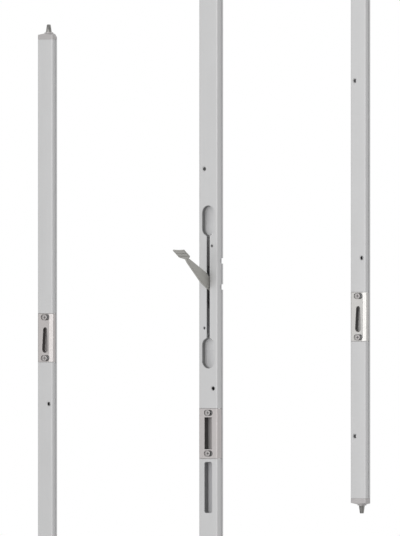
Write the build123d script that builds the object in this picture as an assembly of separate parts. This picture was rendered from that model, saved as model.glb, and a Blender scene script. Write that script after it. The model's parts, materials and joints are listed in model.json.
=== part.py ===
from build123d import *
import os
from math import acos, cos, floor, pi, radians, sin, sqrt, tan

os.makedirs("parts", exist_ok=True)

# Shoot-bolt gear of a multipoint door lock, in three lengths that stand side by side.
# X runs across the face, Y goes into the door, Z is up. Millimetres throughout.
# The face lies at Y = 0, and the lever's pivot is at Z = 0 on the centre rail's middle line.

# Rails
centre_width = 24.0
centre_depth = 10.0
centre_wall = 2.0
centre_head = 360.0
centre_foot = -400.0
outer_wall = 1.6
nest_gap = 0.2
outer_width = centre_width - 2 * (centre_wall + nest_gap)
outer_depth = centre_depth - centre_wall
nest_length = 40.0
corner_radius = 1.2
flank_groove_depth = 0.25
flank_groove_from = 2.8
flank_lip = 2.3
flank_line_width = 1.6
flank_line_depth = 0.6

# Where the outer lengths stand beside the centre one, and where they begin and end
top_x = -210.7
top_rail_end = 258.6
top_rail_foot = -398.0
bottom_x = 191.2
bottom_rail_end = -218.0
bottom_rail_head = 515.0

# Drive rods, which lie near the open back of the rails
rod_width = 12.0
rod_thick = 1.6
rod_front = 7.9
rod_back = rod_front + rod_thick
outer_rod_front = rod_front - centre_wall
outer_rod_back = outer_rod_front + rod_thick
rod_gap = 0.15

# Lever
lever_rest_angle = 33.1
lever_length = 70.0
lever_thick = 2.6
lever_half_width = 6.25
lever_wide_at = 19.0
lever_swell_half = 5.8
lever_swell_at = 8.55
lever_hub_radius = 4.8
neck_half_width = 2.3
neck_at = 49.5
neck_end = 54.5
neck_run_out = 0.5
pad_width = 14.0
pad_thick = 1.6
pad_tip_hollow = 0.7
pad_shoulder_at = 59.0
pad_waist_half = 4.4
pad_waist_at = 55.4
pad_foot_at = 52.6
pad_groove_count = 2
pad_groove_first = 5.1
pad_groove_pitch = 5.3
pad_groove_width = 1.0
pad_groove_depth = 0.25

# Gears and racks
gear_module = 0.6
gear_teeth = 12
pressure_angle = 20.0
gear_addendum = 0.5
rack_addendum = 0.4
root_clearance = 0.15
backlash = 0.08
gear_radius = gear_module * gear_teeth / 2
pitch_line = rod_back + rack_addendum
pivot_y = pitch_line - gear_radius
idler_z = 2 * gear_radius
rack_thick = 2.7
rack_back = rod_back + rack_thick
rack_outer_x = 5.8
rack_inner_x = 1.8
lane_inner = 1.55
lane_split = 3.6
lane_gap = 0.3
pinion_outer_x = 5.9
pivot_radius = 1.3
idler_pin_radius = 1.0
running_gap = 0.05
pin_head = 0.6
pin_head_lip = 0.9
hub_hexagon = 5.1
hub_fit = 0.05
tooth_margin = 2.4
idler_side_gap = 0.25

# Travel of the lever from the pose in which it stands, and of the rods with it
lever_up = radians(90 - lever_rest_angle)
lever_down = radians(90 + lever_rest_angle)
throw = gear_radius * lever_up
draw_back = gear_radius * lever_down

# Gear case
case_half_length = 50.0
case_half_gap = 0.05
case_inner_x = 6.2
case_wall = 1.6
case_outer_x = case_inner_x + case_wall
case_rack_gap = 0.7
case_back_inner = rack_back + case_rack_gap
case_back_wall = 0.8
case_back = case_back_inner + case_back_wall
case_chamfer = 0.6
case_block_length = 28.0
case_block_from = case_half_length - case_block_length
case_rod_gap = 0.4
case_block_back = rod_front - case_rod_gap

# Lever slot and finger recesses in the face
slot_width = 4.0
groove_gap = 0.1
recess_width = 15.9
recess_end = 84.6
recess_shoulder = 60.5
recess_foot_half = 5.0
recess_foot = 54.6
recess_neck = 52.8
recess_join = 0.2
cup_draft = 3.0
cup_side = 0.95
cup_case_gap = 0.2
cup_rod_gap = 0.1
cup_floor_thick = 0.6
cup_back = rod_front - cup_rod_gap
cup_floor = cup_back - cup_floor_thick
scoop_from = 66.0
scoop_extra = 0.3

# Small rivets beside the slot
face_rivet_radius = 1.5
face_rivet_length = 6.0
face_rivet_hole_play = 0.2
face_rivet_x = 4.85
face_rivet_from_end = 7.35
face_rivet_z = case_half_length - face_rivet_from_end
face_rivet_places = [(face_rivet_x, face_rivet_z), (-face_rivet_x, -face_rivet_z)]

# Fixing holes in the faces: place across and up, a second list for each outer length
fixing_radius = 1.9
fixing_sink_radius = 2.9
fixing_sink_depth = 0.8
centre_fixings = [(-5.4, 122.6), (5.8, -105.4), (5.4, 308.0), (-5.4, -290.4)]
top_fixings = [(4.5, -122.4), (-4.5, -306.5)]
bottom_fixings = [(-4.5, 213.0), (4.2, 30.0), (-4.5, -154.0), (4.5, 399.2)]
joint_hole_from_end = 20.0
joint_thread_radius = 1.65
screw_way = 1.0

# Half-round notches in the back edges of the centre rail
notch_width = 5.6
notch_depth = 5.4
notch_levels = [0.0, 27.1]

# Keepers
keeper_joint = 0.25
keeper_screw_radius = 1.9
keeper_head_radius = 2.9
keeper_slot_length = 11.0
keeper_slot_height = 6.2
keeper_travel = 3.4
keeper_shank_play = 0.3
keeper_screw_x = -0.7
keeper_head_thick = 0.9
keeper_head_recess = 0.1
keeper_head_round = 0.35
cross_recess = 3.2
cross_width = 0.6
cross_depth = 0.55
pocket_wall = 1.0
pocket_floor = 0.6
pocket_rod_gap = 0.3
seat_thick = 1.8
seat_overlap = 6.0
seat_window_gap = 0.15
keeper_lip = 2.2

latch_keeper_foot = -178.2
latch_keeper_height = 52.0
latch_keeper_top = latch_keeper_foot + latch_keeper_height
latch_keeper_z = (latch_keeper_foot, latch_keeper_top)
latch_keeper_left = 0.8
latch_slot_below = 9.7
latch_slot_above = 9.2
latch_slot_z = (latch_keeper_foot + latch_slot_below, latch_keeper_top - latch_slot_above)
latch_slot_width = 9.6
latch_screw_below = 5.3
latch_screw_above = 4.5
latch_screw_levels = (latch_keeper_foot + latch_screw_below, latch_keeper_top - latch_screw_above)

hook_keeper_left = 1.0
hook_keeper_height = 50.6
hook_slot_below = 9.6
hook_slot_above = 14.4
hook_slot_low = hook_slot_below
hook_slot_high = hook_keeper_height - hook_slot_above
hook_slot_low_width = 7.7
hook_slot_high_width = 5.2
hook_screw_below = 4.0
hook_screw_above = 3.9
hook_screw_low = hook_screw_below
hook_screw_high = hook_keeper_height - hook_screw_above
hook_bevel_from = 5.4
hook_bevel_drop = 0.9
top_hook_keeper_z = -78.5
bottom_hook_keeper_z = -55.9

# Deadbolt pocket
deadbolt_slot_below_keeper = 3.5
deadbolt_slot_length = 53.0
deadbolt_slot_top = latch_keeper_foot - deadbolt_slot_below_keeper
deadbolt_slot_z = (deadbolt_slot_top - deadbolt_slot_length, deadbolt_slot_top)
seat_box_gap = 0.3
deadbolt_slot_width = 9.9
deadbolt_slot_corner = 2.2

# End guides and shoot bolts
bolt_radius = 3.15
bolt_tip_radius = 1.95
bolt_tip_round = 0.5
bolt_cone = 8.4
bolt_showing = 8.2
bolt_tail = 64.0
bolt_fork = 22.0
bolt_fork_gap = 0.05
bolt_axis_y = (outer_rod_front + outer_rod_back) / 2
bolt_pin_radius = 1.0
bolt_pin_from_tail = 11.0
rod_tip_width = 6.0
rod_tip_gap = 0.5
rod_shoulder_gap = 1.0
guide_flange = 4.8
guide_boss_rise = 2.7
guide_boss_step = 1.1
guide_boss_radius = 5.0
guide_boss_from_back = 0.4
guide_slope = 4.5
guide_corner_from = 3.0
guide_corner_fall = [(5.0, 0.0), (7.8, 2.3), (9.8, 5.3)]
guide_depth = 22.0
guide_barrel_wall = 1.2
guide_fit = 0.05
guide_screw_radius = 1.5
guide_screw_head = 2.4
guide_screw_sink = 0.9
guide_screw_from_end = 10.0
guide_screw_tip_gap = 0.9
guide_screw_play = 0.1
boss_top = guide_flange + guide_boss_rise

# Hook-in joints between the rods, inside the nested ends of the rails
joint_reach = 6.0
joint_neck_width = 5.0
joint_neck_length = 4.0
joint_head_width = 8.4
joint_head_length = 4.0
joint_play = 0.2

# Rod guides
rod_guide_length = 9.0
rod_guide_strap = 0.8
rod_guide_side_gap = 0.1
centre_guide_levels = [98.0, 185.0, 285.0, -93.5, -250.0, -335.0]
top_guide_levels = [180.0, 20.0, -150.0, -350.0]
bottom_guide_levels = [-120.0, 80.0, 260.0, 440.0]

# Rack rivets
rack_rivet_radius = 1.0
rack_case_gap = 6.0
rack_end = case_half_length - rack_case_gap
rod_start_inset = 2.0
rod_start = case_block_from + rod_start_inset
rack_rivet_inset = 4.0
rack_rivet_levels = (rod_start + rack_rivet_inset, rack_end - rack_rivet_inset)
rivet_fit = 0.02
slit_margin = 6.0

# How far a cut runs past what it cuts, and a length past every piece
through = 0.5
past_all = 3 * centre_depth


def block(x0, x1, y0, y1, z0, z1):
    """A box between the given planes."""
    size = (abs(x1 - x0), abs(y1 - y0), abs(z1 - z0))
    return Pos((x0 + x1) / 2, (y0 + y1) / 2, (z0 + z1) / 2) * Box(*size)


def rod_x(radius, x0, x1, y, z):
    """A round bar along X."""
    return Pos((x0 + x1) / 2, y, z) * Rot(0, 90, 0) * Cylinder(radius, abs(x1 - x0))


def rod_y(radius, x, y0, y1, z):
    """A round bar along Y."""
    return Pos(x, (y0 + y1) / 2, z) * Rot(90, 0, 0) * Cylinder(radius, abs(y1 - y0))


def rod_z(radius, x, y, z0, z1):
    """A round bar along Z."""
    return Pos(x, y, (z0 + z1) / 2) * Cylinder(radius, abs(z1 - z0))


def into_door(sketch, y0, y1):
    """A flat outline of the face, drawn as X and Z, made solid from y0 to y1."""
    return Pos(0, y0, 0) * extrude(Plane.XZ * sketch, amount=y0 - y1)


def across(sketch, x0, x1):
    """A side outline, drawn as Y and Z, made solid from x0 to x1."""
    return Pos(x0, 0, 0) * extrude(Plane.YZ * sketch, amount=x1 - x0)


def outline(*points):
    """A closed face through the points."""
    return make_face(Polyline(*points, close=True))


def sunk_hole(x, z, wall):
    """What a countersunk hole takes out of a face."""
    sink = Pos(x, fixing_sink_depth / 2, z) * Rot(90, 0, 0)
    sink *= Cone(fixing_radius, fixing_sink_radius, fixing_sink_depth)
    return [rod_y(fixing_radius, x, -through, wall + through, z), sink]


def channel(x_mid, width, depth, wall, z0, z1):
    """A channel rail: a face with two flanges, open at the back."""
    half = width / 2
    body = block(x_mid - half, x_mid + half, 0, depth, z0, z1)
    front_edges = body.edges().filter_by(Axis.Z).group_by(Axis.Y)[0]
    body = fillet(front_edges, corner_radius)
    body -= block(x_mid - half + wall, x_mid + half - wall, wall, depth + through,
                  z0 - through, z1 + through)
    for side in (-1, 1):
        edge = x_mid + side * half
        inner = edge - side * flank_groove_depth
        body -= block(inner, edge + side, flank_groove_from, depth - flank_lip,
                      z0 - through, z1 + through)
        line = edge - side * flank_line_depth
        body -= block(line, edge + side, depth - flank_lip - flank_line_width, depth - flank_lip,
                      z0 - through, z1 + through)
    return body


def finger_recess():
    """Outline of the upper finger recess, with its neck on the lever slot."""
    half = recess_width / 2
    neck = slot_width / 2
    foot = recess_foot_half
    round_mid = recess_end - half
    inset = half - foot
    rise = recess_shoulder - recess_foot
    shoulder_radius = (inset ** 2 + rise ** 2) / (2 * inset)
    sides = Curve() + [
        Line((-neck, recess_neck), (-foot, recess_foot)),
        RadiusArc((-foot, recess_foot), (-half, recess_shoulder), shoulder_radius),
        Line((-half, recess_shoulder), (-half, round_mid)),
        ThreePointArc((-half, round_mid), (0, recess_end), (half, round_mid)),
        Line((half, round_mid), (half, recess_shoulder)),
        RadiusArc((half, recess_shoulder), (foot, recess_foot), shoulder_radius),
        Line((foot, recess_foot), (neck, recess_neck)),
        Line((neck, recess_neck), (-neck, recess_neck)),
    ]
    return make_face(sides)


def face_opening():
    """The lever slot with a finger recess at each end."""
    recess = finger_recess()
    slot = Rectangle(slot_width, 2 * (recess_neck + recess_join))
    return slot + recess + mirror(recess, about=Plane.XZ)


def hook_slot(z_base, grow=0.0):
    """The tapered, round-ended slot of a hook keeper, as X and Z about its middle line."""
    low_r = hook_slot_low_width / 2 + grow
    high_r = hook_slot_high_width / 2 + grow
    low = z_base + hook_slot_low + hook_slot_low_width / 2
    high = z_base + hook_slot_high - hook_slot_high_width / 2
    taper = outline((-low_r, low), (-high_r, high), (high_r, high), (low_r, low))
    return taper + Pos(0, low) * Circle(low_r) + Pos(0, high) * Circle(high_r)


def screw_slot(z):
    """What a keeper's sideways screw slot takes out: a recess for the head, a way for the shank."""
    head = SlotOverall(keeper_slot_length, keeper_slot_height)
    shank_height = 2 * keeper_screw_radius + keeper_shank_play
    shank = SlotOverall(2 * keeper_screw_radius + keeper_travel, shank_height)
    depth = keeper_head_recess + keeper_head_thick
    recess = into_door(Pos(0, z) * head, -through, depth)
    return [recess, into_door(Pos(0, z) * shank, 0, centre_depth)]


def keeper_screw(x_mid, z, back):
    """A cross-recessed screw, set towards one end of its slot."""
    x = x_mid + keeper_screw_x
    neck = keeper_head_recess + keeper_head_thick
    screw = rod_y(keeper_head_radius, x, keeper_head_recess, neck, z)
    screw = fillet(screw.edges().group_by(Axis.Y)[0], keeper_head_round)
    screw += rod_y(keeper_screw_radius, x, neck, back, z)
    for wide, tall in ((cross_recess, cross_width), (cross_width, cross_recess)):
        deep = keeper_head_recess + cross_depth
        screw -= block(x - wide / 2, x + wide / 2, -through, deep, z - tall / 2, z + tall / 2)
    return screw


def keeper(x_mid, rail, left_strip, z_range, slot, slot_outer):
    """A cast keeper: face plate, leg round the right-hand corner, and the pocket behind its slot."""
    width, depth, wall, rod_face = rail
    z0, z1 = z_range
    right = x_mid + width / 2
    left = x_mid - width / 2 + left_strip
    leg_back = depth - keeper_lip - keeper_joint
    body = block(left, right, 0, wall, z0, z1)
    body += block(right - wall, right, 0, leg_back, z0, z1)
    corner = body.edges().filter_by(Axis.Z).group_by(Axis.Y)[0].sort_by(Axis.X)[-1]
    body = fillet(corner, corner_radius)
    body -= block(right - flank_groove_depth, right + through, flank_groove_from, depth,
                  z0 - through, z1 + through)
    back = rod_face - pocket_rod_gap
    body += Pos(x_mid, 0, 0) * into_door(slot_outer, wall / 2, back)
    body -= Pos(x_mid, 0, 0) * into_door(slot, -through, back - pocket_floor)
    return body


def keeper_cut(x_mid, rail, left_strip, z_range):
    """What a keeper takes out of its rail, with the joint gap round it."""
    width, depth, wall, _ = rail
    z0, z1 = z_range[0] - keeper_joint, z_range[1] + keeper_joint
    right = x_mid + width / 2
    left = x_mid - width / 2 + left_strip - keeper_joint
    face = block(left, right + through, -through, wall, z0, z1)
    return face + block(right - wall - keeper_joint, right + through, -through,
                        depth - keeper_lip, z0, z1)


def keeper_seat(x_mid, rail, z_range, window, levels, z_limit=None):
    """The plate behind a keeper that its screws are tapped into."""
    width, _, wall, _ = rail
    half = width / 2 - wall - rod_guide_side_gap
    z0, z1 = z_range[0] - seat_overlap, z_range[1] + seat_overlap
    if z_limit is not None:
        z0 = max(z0, z_limit)
    seat = block(x_mid - half, x_mid + half, wall, wall + seat_thick, z0, z1)
    seat -= Pos(x_mid, 0, 0) * into_door(window, wall - through, wall + seat_thick + through)
    for level in levels:
        seat -= rod_y(keeper_screw_radius + rivet_fit, x_mid + keeper_screw_x, 0, centre_depth, level)
    return seat


def gear_outline(half_turn=False):
    """Involute outline of one gear, with a tooth or a gap pointing into the door."""
    base = gear_radius * cos(radians(pressure_angle))
    tip = gear_radius + gear_addendum
    root = gear_radius - gear_addendum - root_clearance
    pitch_half = (pi * gear_module / 2 - backlash) / (2 * gear_radius)
    inv = tan(radians(pressure_angle)) - radians(pressure_angle)
    flank = []
    steps = 5
    for i in range(steps + 1):
        radius = base + (tip - base) * i / steps
        angle = acos(base / radius)
        flank.append((radius, pitch_half + inv - (tan(angle) - angle)))
    flank.insert(0, (root, flank[0][1]))
    points = []
    for tooth in range(gear_teeth):
        centre = (2 * tooth + half_turn) * pi / gear_teeth
        for radius, half in flank:
            points.append((radius * cos(centre - half), radius * sin(centre - half)))
        for radius, half in reversed(flank):
            points.append((radius * cos(centre + half), radius * sin(centre + half)))
    return outline(*points)


def gear(x0, x1, z, half_turn=False):
    """A spur gear about X, from x0 to x1, at the height z."""
    return Pos(0, pivot_y, z) * across(gear_outline(half_turn), x0, x1)


def hub_spigot(x0, x1):
    """The six-sided end that keys a pinion into the lever's hub."""
    side = RegularPolygon(hub_hexagon / 2, 6, major_radius=False)
    return Pos(0, pivot_y, 0) * across(side, x0, x1)


def rack_teeth(first_tooth, z_low, z_high, x0, x1):
    """The gaps of a rack, cut from its front, with a tooth's middle at first_tooth."""
    pitch = pi * gear_module
    depth_line = pitch_line + gear_addendum + root_clearance
    slope = tan(radians(pressure_angle))
    gap_half = (pitch / 2 + backlash) / 2
    cuts = []
    level = first_tooth + pitch * floor((z_low - first_tooth) / pitch) + pitch / 2
    while level < z_high:
        wide = gap_half + rack_addendum * slope + through * slope
        narrow = gap_half - (gear_addendum + root_clearance) * slope
        front = rod_back - through
        shape = outline((front, level - wide), (front, level + wide),
                        (depth_line, level + narrow), (depth_line, level - narrow))
        cuts.append(across(shape, x0 - through, x1 + through))
        level += pitch
    return cuts


def screw_relief(x_mid, fixings, z_rod, moves_up):
    """Side notches that let a rod pass the fixing screws over its whole travel."""
    up, down = (throw, draw_back) if moves_up else (draw_back, throw)
    reliefs = []
    for x, z in fixings:
        if not z_rod[0] < z < z_rod[1]:
            continue
        reach = fixing_radius + screw_way
        side = 1 if x > 0 else -1
        inner = x_mid + x - side * reach
        outer = x_mid + side * (rod_width / 2 + through)
        reliefs.append(block(inner, outer, 0, past_all, z - up - reach, z + down + reach))
    return reliefs


def hook_in_head(x_mid, front, z_end, way, play=0.0):
    """The hook-in head on the end of a rod, or with play the opening that takes it."""
    neck = joint_neck_width / 2 + play / 2
    head = joint_head_width / 2 + play / 2
    step = way * joint_neck_length
    tip = way * (joint_neck_length + joint_head_length + play)
    back = front + rod_thick
    shape = block(x_mid - neck, x_mid + neck, front - play, back + play, z_end - way * play, z_end + step)
    return shape + block(x_mid - head, x_mid + head, front - play, back + play,
                         z_end + step - way * play, z_end + tip)


def rod_guides(x_mid, rail, levels):
    """Moulded guides that fit between the flanges and hold the rod to the back of the rail."""
    width, _, wall, rod_face = rail
    half = width / 2 - wall - rod_guide_side_gap
    back = rod_face + rod_thick + rod_gap + rod_guide_strap
    guides = []
    for level in levels:
        z0, z1 = level - rod_guide_length / 2, level + rod_guide_length / 2
        guide = block(x_mid - half, x_mid + half, wall, back, z0, z1)
        guide -= block(x_mid - rod_width / 2 - rod_gap, x_mid + rod_width / 2 + rod_gap,
                       rod_face - rod_gap, rod_face + rod_thick + rod_gap,
                       z0 - through, z1 + through)
        guides.append(guide)
    return guides


nodes = {}
centre_rail = (centre_width, centre_depth, centre_wall, rod_front)
outer_rail = (outer_width, outer_depth, outer_wall, outer_rod_front)

# Centre rail
rail = channel(0, centre_width, centre_depth, centre_wall, centre_foot, centre_head)
rail -= into_door(face_opening(), -through, centre_wall + through)
for x, z in face_rivet_places:
    rail -= rod_y(face_rivet_radius + rivet_fit, x, -through, centre_wall + through, z)
for x, z in centre_fixings:
    rail -= sunk_hole(x, z, centre_wall)
for z in (centre_head - joint_hole_from_end, centre_foot + joint_hole_from_end):
    rail -= sunk_hole(0, z, centre_wall)
for level in notch_levels:
    deepest = centre_depth - notch_depth + notch_width / 2
    rail -= rod_x(notch_width / 2, -centre_width, centre_width, deepest, level)
    rail -= block(-centre_width, centre_width, deepest, centre_depth + through,
                  level - notch_width / 2, level + notch_width / 2)
rail -= keeper_cut(0, centre_rail, latch_keeper_left, latch_keeper_z)
deadbolt_length = deadbolt_slot_z[1] - deadbolt_slot_z[0]
deadbolt_mid = sum(deadbolt_slot_z) / 2
deadbolt_slot = Pos(0, deadbolt_mid) * RectangleRounded(
    deadbolt_slot_width, deadbolt_length, deadbolt_slot_corner)
rail -= into_door(deadbolt_slot, -through, centre_wall + through)
nodes["rail_centre"] = rail

# Finger cups behind the recesses
cup_half = recess_width / 2 + cup_side
cup = block(-cup_half, cup_half, centre_wall, cup_back,
            case_half_length + cup_case_gap, recess_end + cup_side)
cup -= Pos(0, centre_wall, 0) * extrude(
    Plane.XZ * finger_recess(), amount=-(cup_floor - centre_wall), taper=cup_draft)
cup -= block(-slot_width / 2, slot_width / 2, 0, centre_depth, 0, neck_end + neck_run_out)
scoop_half = recess_width / 2 - (cup_floor - centre_wall) * tan(radians(cup_draft))
scoop_deep = cup_floor + scoop_extra
scoop_round = recess_end - recess_width / 2
scoop = block(-scoop_half, scoop_half, centre_wall, scoop_deep, scoop_from, scoop_round)
scoop += rod_y(scoop_half, 0, centre_wall, scoop_deep, scoop_round)
cup -= scoop
nodes["upper_finger_cup"] = cup
nodes["lower_finger_cup"] = mirror(cup, about=Plane.XY)

# Gear case, in two halves that meet at the middle
case_profile = [
    (case_half_gap, case_back), (case_outer_x - case_chamfer, case_back),
    (case_outer_x, case_back - case_chamfer), (case_outer_x, centre_wall),
    (case_inner_x, centre_wall), (case_inner_x, case_back_inner), (case_half_gap, case_back_inner),
]


def case_half(side):
    """One half of the gear case: cheek, back wall and the two blocks that line the lever groove."""
    shape = outline(*[(side * x, y) for x, y in case_profile])
    half = extrude(Pos(0, 0, -case_half_length) * shape, amount=2 * case_half_length, dir=(0, 0, 1))
    groove = side * (slot_width / 2 + groove_gap)
    for end in (-1, 1):
        half += block(groove, side * case_outer_x, centre_wall, case_block_back,
                      end * case_block_from, end * case_half_length)
    for x, z in face_rivet_places:
        if x * side > 0:
            hole_end = face_rivet_length + face_rivet_hole_play
            half -= rod_y(face_rivet_radius + rivet_fit, x, 0, hole_end, z)
    half -= rod_x(pivot_radius + rivet_fit, 0, side * past_all, pivot_y, 0)
    return half


case_left = case_half(-1)
case_right = case_half(1)
case_right -= rod_x(idler_pin_radius + rivet_fit, 0, past_all, pivot_y, idler_z)
nodes["gear_case_left"] = case_left
nodes["gear_case_right"] = case_right

nodes["face_rivets"] = [
    rod_y(face_rivet_radius, x, 0, face_rivet_length, z) for x, z in face_rivet_places]

# Pivot and idler pins, riveted over outside the cheeks
pivot_pin = rod_x(pivot_radius, -case_outer_x, case_outer_x, pivot_y, 0)
for side in (-1, 1):
    pivot_pin += rod_x(pivot_radius + pin_head_lip, side * case_outer_x,
                       side * (case_outer_x + pin_head), pivot_y, 0)
nodes["pivot_pin"] = pivot_pin
idler_pin = rod_x(idler_pin_radius, lane_inner, case_outer_x, pivot_y, idler_z)
idler_pin += rod_x(idler_pin_radius + pin_head_lip, case_outer_x, case_outer_x + pin_head,
                   pivot_y, idler_z)
nodes["idler_pin"] = idler_pin

# Pinions keyed to the lever, and the idler between the right-hand pinion and the upper rack
pivot_bore = rod_x(pivot_radius + running_gap, -past_all, past_all, pivot_y, 0)
left_pinion = gear(-pinion_outer_x, -lane_inner, 0) + hub_spigot(-lane_inner, -case_half_gap)
nodes["lower_drive_pinion"] = left_pinion - pivot_bore
right_pinion = gear(lane_inner, lane_split, 0) + hub_spigot(case_half_gap, lane_inner)
right_pinion += rod_x(pivot_radius + pin_head_lip, lane_split, pinion_outer_x, pivot_y, 0)
nodes["upper_drive_pinion"] = right_pinion - pivot_bore
idler = gear(lane_inner + idler_side_gap, pinion_outer_x, idler_z, half_turn=True)
nodes["idler_gear"] = idler - rod_x(idler_pin_radius + running_gap, 0, past_all, pivot_y, idler_z)

# Lever, drawn along -Y from its pivot and turned up to the pose in which it stands
arm_half = lever_thick / 2
arm_side = [
    (0, lever_hub_radius), (lever_swell_at, lever_swell_half), (lever_wide_at, lever_half_width),
    (neck_at, neck_half_width), (neck_end, pad_thick / 2),
]
arm = outline(*[(-s, t) for s, t in arm_side], *[(-s, -t) for s, t in reversed(arm_side)])
arm += Circle(lever_hub_radius)
lever = across(arm, -arm_half, arm_half)


def pad_side(way):
    """One side of the thumb pad, from its tip to the arm: straight, swelling in, then hollow."""
    half = way * pad_width / 2
    waist = way * pad_waist_half
    foot = way * arm_half
    swell = (-(pad_shoulder_at + 2 * pad_waist_at) / 3, (half + 2 * half + waist) / 4)
    hollow = (-(pad_waist_at + pad_foot_at) / 2, (2 * foot + waist) / 3)
    return [
        Line((-lever_length, half), (-pad_shoulder_at, half)),
        ThreePointArc((-pad_shoulder_at, half), swell, (-pad_waist_at, waist)),
        ThreePointArc((-pad_waist_at, waist), hollow, (-pad_foot_at, foot)),
    ]


pad_half = pad_width / 2
pad_curve = Curve() + [
    *pad_side(1), *pad_side(-1),
    Line((-pad_foot_at, -arm_half), (-pad_foot_at, arm_half)),
    ThreePointArc((-lever_length, -pad_half), (-lever_length + pad_tip_hollow, 0),
                  (-lever_length, pad_half)),
]
pad_plane = Plane(origin=(0, 0, -pad_thick / 2), x_dir=(0, 1, 0), z_dir=(0, 0, 1))
lever += extrude(pad_plane * make_face(pad_curve), amount=pad_thick)
for i in range(pad_groove_count):
    level = -lever_length + pad_groove_first + i * pad_groove_pitch
    for side in (-1, 1):
        lever -= block(-pad_width, pad_width,
                       level - pad_groove_width / 2, level + pad_groove_width / 2,
                       side * (pad_thick / 2 - pad_groove_depth), side * pad_thick)
hub_hole = RegularPolygon(hub_hexagon / 2 + hub_fit, 6, major_radius=False)
lever = Rot(-lever_rest_angle, 0, 0) * lever
lever = Pos(0, pivot_y, 0) * (lever - across(hub_hole, -past_all, past_all))
nodes["lever"] = lever

# Racks and centre rods
half_pitch = pi * gear_module / 2
lower_teeth = (-draw_back - tooth_margin, throw + tooth_margin)
lower_rack = block(-rack_outer_x, -rack_inner_x, rod_back, rack_back, -rack_end, lower_teeth[1])
lower_rack -= rack_teeth(half_pitch, *lower_teeth, -rack_outer_x, -rack_inner_x)
upper_teeth = (idler_z - throw - tooth_margin, idler_z + draw_back + tooth_margin)
rack_lane = lane_split + lane_gap
upper_rack = block(rack_lane, rack_outer_x, rod_back, rack_back, upper_teeth[0], rack_end)
upper_rack += block(rack_inner_x, rack_outer_x, rod_back, rack_back, rod_start, rack_end)
upper_rack -= rack_teeth(idler_z, *upper_teeth, rack_lane, rack_outer_x)

rack_mid_x = (rack_inner_x + rack_outer_x) / 2
slit_half = slot_width / 2 + groove_gap
lower_end = centre_foot + nest_length + joint_reach
upper_end = centre_head - nest_length - joint_reach
rod_half = rod_width / 2
upper_rod = block(-rod_half, rod_half, rod_front, rod_back, rod_start, upper_end)
upper_rod -= block(-slit_half, slit_half, 0, past_all, 0, neck_at + slit_margin)
upper_rod -= screw_relief(0, centre_fixings, (0, upper_end), True)
upper_rod -= hook_in_head(0, rod_front, upper_end, -1, joint_play)
lower_rod = block(-rod_half, rod_half, rod_front, rod_back, lower_end, -rod_start)
lower_rod -= block(-slit_half, slit_half, 0, past_all, -neck_at - slit_margin - draw_back, 0)
lower_rod -= screw_relief(0, centre_fixings, (lower_end, 0), False)
lower_rod -= hook_in_head(0, rod_front, lower_end, 1, joint_play)


def rack_rivets(side, way):
    """Two flush rivets that hold a rack to its rod."""
    return [rod_y(rack_rivet_radius, side * rack_mid_x, rod_front, rack_back, way * level)
            for level in rack_rivet_levels]


def rivet_holes(side, way):
    """The holes for those rivets."""
    return [rod_y(rack_rivet_radius + rivet_fit, side * rack_mid_x, 0, past_all, way * level)
            for level in rack_rivet_levels]


nodes["rack_lower"] = lower_rack - rivet_holes(-1, -1)
nodes["rack_upper"] = upper_rack - rivet_holes(1, 1)
nodes["rod_lower"] = lower_rod - rivet_holes(-1, -1)
nodes["rod_upper"] = upper_rod - rivet_holes(1, 1)
nodes["lower_rack_rivets"] = rack_rivets(-1, -1)
nodes["upper_rack_rivets"] = rack_rivets(1, 1)

# Latch keeper, its seat and screws, and the deadbolt pocket
latch_length = latch_slot_z[1] - latch_slot_z[0]
latch_mid = sum(latch_slot_z) / 2
latch_slot = Pos(0, latch_mid) * Rectangle(latch_slot_width, latch_length)
latch_outer = Pos(0, latch_mid) * Rectangle(
    latch_slot_width + 2 * pocket_wall, latch_length + 2 * pocket_wall)
latch_window = Pos(0, latch_mid) * Rectangle(
    latch_slot_width + 2 * (pocket_wall + seat_window_gap),
    latch_length + 2 * (pocket_wall + seat_window_gap))
latch = keeper(0, centre_rail, latch_keeper_left, latch_keeper_z, latch_slot, latch_outer)
for level in latch_screw_levels:
    latch -= screw_slot(level)
nodes["latch_keeper"] = latch
box_low = deadbolt_slot_z[0] - pocket_wall
box_high = deadbolt_slot_z[1] + pocket_wall
nodes["latch_keeper_seat"] = keeper_seat(
    0, centre_rail, latch_keeper_z, latch_window, latch_screw_levels, box_high + seat_box_gap)
seat_back = centre_wall + seat_thick
nodes["latch_keeper_screws"] = [keeper_screw(0, level, seat_back) for level in latch_screw_levels]

box_half = deadbolt_slot_width / 2 + pocket_wall
pocket_back = rod_front - pocket_rod_gap
deadbolt_box = block(-box_half, box_half, centre_wall, pocket_back, box_low, box_high)
deadbolt_box -= into_door(deadbolt_slot, 0, pocket_back - pocket_floor)
nodes["deadbolt_box"] = deadbolt_box

nodes["centre_rod_guides"] = rod_guides(0, centre_rail, centre_guide_levels)

# Outer lengths: the parts that both have, made once at the middle and put in their places


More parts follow.
